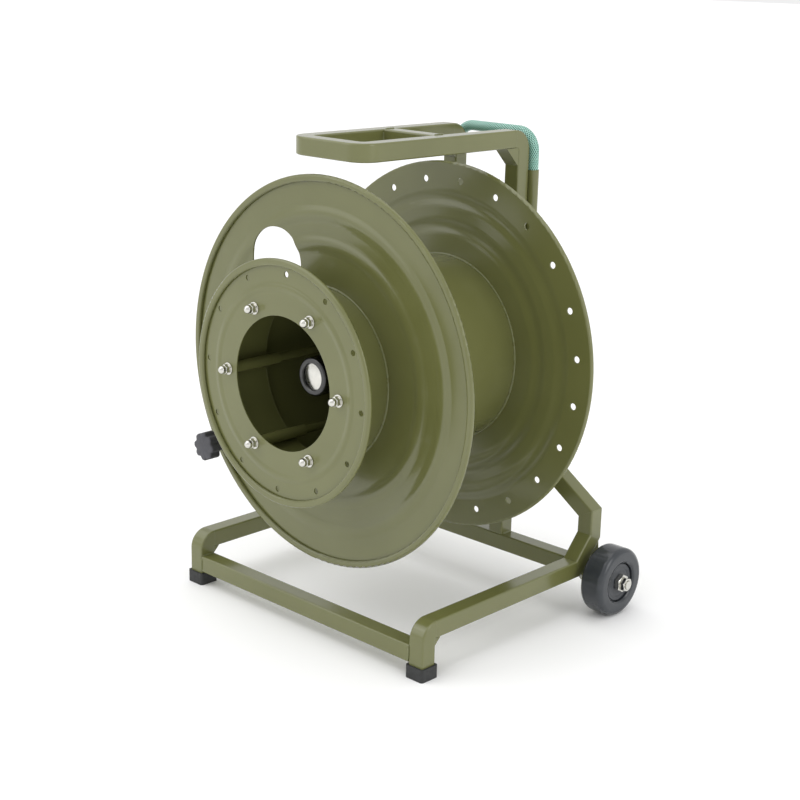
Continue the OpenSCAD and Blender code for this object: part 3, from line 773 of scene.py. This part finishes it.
class REEL_OT_welds(bpy.types.Operator):
    """Lays the painted weld beads where sheet meets sheet on the drum and tube meets tube on the stand"""

    bl_idname = "reel.welds"
    bl_label = "Weld beads"

    def execute(self, context):
        settings = context.scene.reel_finish
        material = weld_bead_coat(settings)
        make_piece("drum_welds", join_skins(self.drum_beads(settings.weld_radius)), material,
                   "drum")
        make_piece("stand_welds", join_skins(self.stand_beads(settings.weld_radius)), material,
                   "stand")
        return {"FINISHED"}

    @staticmethod
    def drum_beads(radius):
        """A ring bead outside each end of both barrels, and round the hub on the rear flange."""
        beads = []
        for node_name in ("main_barrel", "front_barrel"):
            low, high = (np.array(v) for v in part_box(node_name))
            r = (high[0] - low[0]) / 2 + 0.3 * radius
            z = (low[2] + high[2]) / 2
            for k, y in enumerate((low[1] + 0.3 * radius, high[1] - 0.3 * radius)):
                beads.append(bead_along(circle_path((0, y, z), r, (0, 1, 0)), (0, 1, 0),
                                        radius, True, 11 + k))
        low, high = (np.array(v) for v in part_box("hub_tube"))
        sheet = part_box("main_barrel")[1][1]
        beads.append(bead_along(
            circle_path((0, sheet, (low[2] + high[2]) / 2), (high[0] - low[0]) / 2 + 0.2 * radius, (0, 1, 0)),
            (0, 1, 0), radius, True, 17))
        return beads

    @staticmethod
    def stand_beads(radius):
        """Beads round the ends of the cross tubes, under the posts, and up the guide tubes."""
        beads = []
        inset = 3.5 * MM
        for seed, node_name in enumerate(("front_cross_tube", "rear_cross_tube", "handle_cross_tube")):
            low, high = (np.array(v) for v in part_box(node_name))
            for x, sign in ((low[0], 1), (high[0], -1)):
                at = x + sign * 0.2 * radius
                rows = [
                    ((at, low[1] + inset, high[2]), (at, high[1] - inset, high[2]), (0, 0, 1)),
                    ((at, low[1] + inset, low[2]), (at, high[1] - inset, low[2]), (0, 0, 1)),
                    ((at, low[1], low[2] + inset), (at, low[1], high[2] - inset), (0, 1, 0)),
                    ((at, high[1], low[2] + inset), (at, high[1], high[2] - inset), (0, 1, 0)),
                ]
                for k, (a, b, flat) in enumerate(rows):
                    beads.append(bead_along(line_path(a, b), flat, radius * 0.8, False, 30 + 8 * seed + k))
        for side in SIDES:
            low, high = (np.array(v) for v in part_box(f"post_{side}"))
            z = low[2] + 0.2 * radius
            for k, x in enumerate((low[0], high[0])):
                beads.append(bead_along(line_path((x, low[1] + inset, z), (x, high[1] - inset, z)),
                                        (0, 0, 1), radius, False, 60 + k))
            tube_low, tube_high = (np.array(v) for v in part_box(f"guide_tube_{side}"))
            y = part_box(f"upright_{side}")[1][1] + 0.4 * radius
            x = (tube_low[0] + tube_high[0]) / 2
            inward = 1 if side == "left" else -1
            for k, z in enumerate((tube_low[2] + 12 * MM, tube_high[2] - 30 * MM)):
                beads.append(bead_along(
                    line_path((x + inward * 4 * MM, y, z), (x + inward * 4 * MM, y, z + 18 * MM)),
                    (0, 1, 0), radius, False, 70 + k))
        return beads


class REEL_OT_stage(bpy.types.Operator):
    """Lays the floor and sets the lights and the camera"""

    bl_idname = "reel.stage"
    bl_label = "Stage, lights and camera"

    def execute(self, context):
        stage = context.scene.reel_stage
        self.make_floor(context)
        self.set_world(context.scene, stage)
        colour = stage.light_colour
        self.add_overhead(stage, colour)
        reel_middle = (0.0, 0.0, 0.35)
        self.add_softbox("front_softbox", (-1.6, -2.3, 1.5), reel_middle, (1.6, 1.8),
                         stage.front_power, colour)
        self.add_softbox("side_softbox", (2.6, 0.2, 1.4), reel_middle, (1.2, 1.8),
                         stage.side_power, colour)
        context.scene.view_settings.view_transform = "Standard"
        return {"FINISHED"}

    @staticmethod
    def make_floor(context):
        """A flat square, z = 0, far larger than what the camera sees."""
        reach = 40.0
        mesh = bpy.data.meshes.new("floor")
        mesh.from_pydata([(-reach, -reach, 0), (reach, -reach, 0), (reach, reach, 0), (-reach, reach, 0)],
                         [], [(0, 1, 2, 3)])
        mesh.materials.append(studio_floor(context.scene.reel_finish))
        floor = bpy.data.objects.new("floor", mesh)
        context.scene.collection.objects.link(floor)

    @staticmethod
    def set_world(scene, stage):
        world = bpy.data.worlds.new("studio")
        world.use_nodes = True
        world.node_tree.nodes["Background"].inputs["Color"].default_value = (1, 1, 1, 1)
        world.node_tree.nodes["Background"].inputs["Strength"].default_value = stage.sky
        scene.world = world

    @staticmethod
    def add_overhead(stage, colour):
        light = bpy.data.lights.new("overhead", "SUN")
        light.energy = stage.overhead
        light.angle = stage.overhead_width
        light.color = colour
        lamp = bpy.data.objects.new("overhead", light)
        lamp.rotation_euler = Vector((0.35, 0.25, -1.0)).to_track_quat("-Z", "Y").to_euler()
        bpy.context.scene.collection.objects.link(lamp)

    @staticmethod
    def add_softbox(name, place, target, size, power, colour):
        light = bpy.data.lights.new(name, "AREA")
        light.shape = "RECTANGLE"
        light.size, light.size_y = size
        light.energy = power
        light.color = colour
        lamp = bpy.data.objects.new(name, light)
        lamp.location = place
        lamp.rotation_euler = (Vector(target) - Vector(place)).to_track_quat("-Z", "Y").to_euler()
        bpy.context.scene.collection.objects.link(lamp)


class REEL_OT_camera(bpy.types.Operator):
    """Sets the camera: from the right front, a little above the handle"""

    bl_idname = "reel.camera"
    bl_label = "Camera"

    def execute(self, context):
        yaw, pitch, roll = (math.radians(a) for a in (43.33, -15.77, 1.39))
        forward = Vector((-math.sin(yaw) * math.cos(pitch), math.cos(yaw) * math.cos(pitch), math.sin(pitch)))
        right = Vector((math.cos(yaw), math.sin(yaw), 0))
        up = right.cross(forward)
        tilted_right = right * math.cos(roll) + up * math.sin(roll)
        tilted_up = up * math.cos(roll) - right * math.sin(roll)
        data = bpy.data.cameras.new("camera")
        data.lens, data.sensor_width = 69.17, 36.0
        data.shift_x, data.shift_y = 0.0017, -0.0042
        data.clip_start, data.clip_end = 0.05, 100.0
        camera = bpy.data.objects.new("camera", data)
        turn = Matrix((tilted_right, tilted_up, -forward)).transposed().to_4x4()
        middle_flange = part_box("main_barrel")[0].y    # the camera keeps its distance from the drum
        camera.matrix_world = Matrix.Translation((1.4555, middle_flange - 1.3965, 0.8984)) @ turn
        context.scene.collection.objects.link(camera)
        context.scene.camera = camera
        return {"FINISHED"}


class REEL_PT_panel(bpy.types.Panel):
    """Lists the reel's settings and the steps that finish it"""

    bl_idname = "REEL_PT_panel"
    bl_label = "Cable Reel"
    bl_space_type = "VIEW_3D"
    bl_region_type = "UI"
    bl_category = "Cable Reel"

    def draw(self, context):
        for group in (context.scene.reel_finish, context.scene.reel_stage):
            for key in group.__annotations__:
                self.layout.prop(group, key)
        for step in STEPS:
            self.layout.operator(step.bl_idname)


STEPS = (
    REEL_OT_camera,
    REEL_OT_finish_steel,
    REEL_OT_hose,
    REEL_OT_dome_nuts,
    REEL_OT_winding_knob,
    REEL_OT_wheel_fittings,
    REEL_OT_welds,
    REEL_OT_stage,
)
CLASSES = (ReelFinishSettings, ReelStageSettings, *STEPS, REEL_PT_panel)


def register():
    for cls in CLASSES:
        bpy.utils.register_class(cls)
    bpy.types.Scene.reel_finish = PointerProperty(type=ReelFinishSettings)
    bpy.types.Scene.reel_stage = PointerProperty(type=ReelStageSettings)


def unregister():
    del bpy.types.Scene.reel_stage
    del bpy.types.Scene.reel_finish
    for cls in reversed(CLASSES):
        bpy.utils.unregister_class(cls)


def main():
    register()
    for step in STEPS:
        group, name = step.bl_idname.split(".")
        getattr(getattr(bpy.ops, group), name)()


if __name__ == "__main__":
    main()
